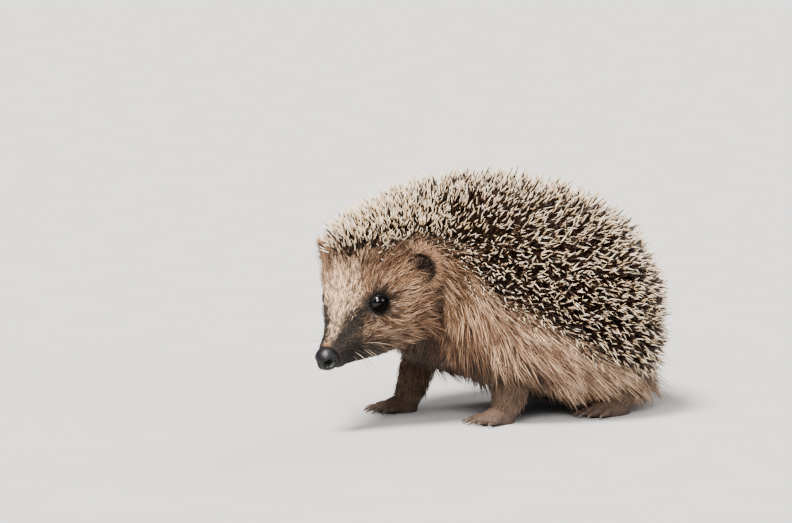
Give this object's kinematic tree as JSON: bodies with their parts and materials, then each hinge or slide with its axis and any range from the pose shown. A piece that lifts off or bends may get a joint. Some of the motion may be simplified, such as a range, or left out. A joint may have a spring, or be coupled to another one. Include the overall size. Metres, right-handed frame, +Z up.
{
  "type": "European hedgehog",
  "caption": "Young European hedgehog standing on all fours, head low and turned to its left, spiny back and long flank hair.",
  "frame": {"origin": "on the floor, under the centre of the whole animal's bounding box", "axes": "+Z up, the animal faces -Y with its left side at +X, +Y towards the rump"},
  "size_m": [0.101, 0.1708, 0.0994],
  "materials": {
    "coat": "spines banded cream and dark brown over coarse grey-brown hair",
    "face": "short cream-buff and brown fur, dark stripe from eye to nose",
    "legs": "short grey-brown fur",
    "skin": "thin dark grey-brown skin with sparse hair",
    "nose": "moist black, pebbled",
    "eye": "wet black"
  },
  "bodies": {
    "root": {"torso": "coat", "head": "face", "nose": "nose", "eye_left": "eye", "ear_left": "skin", "eye_right": "eye", "ear_right": "skin", "leg_front_left": "legs", "leg_front_right": "legs", "leg_hind_left": "legs", "leg_hind_right": "legs", "tail": "skin"}
  },
  "joints": []
}
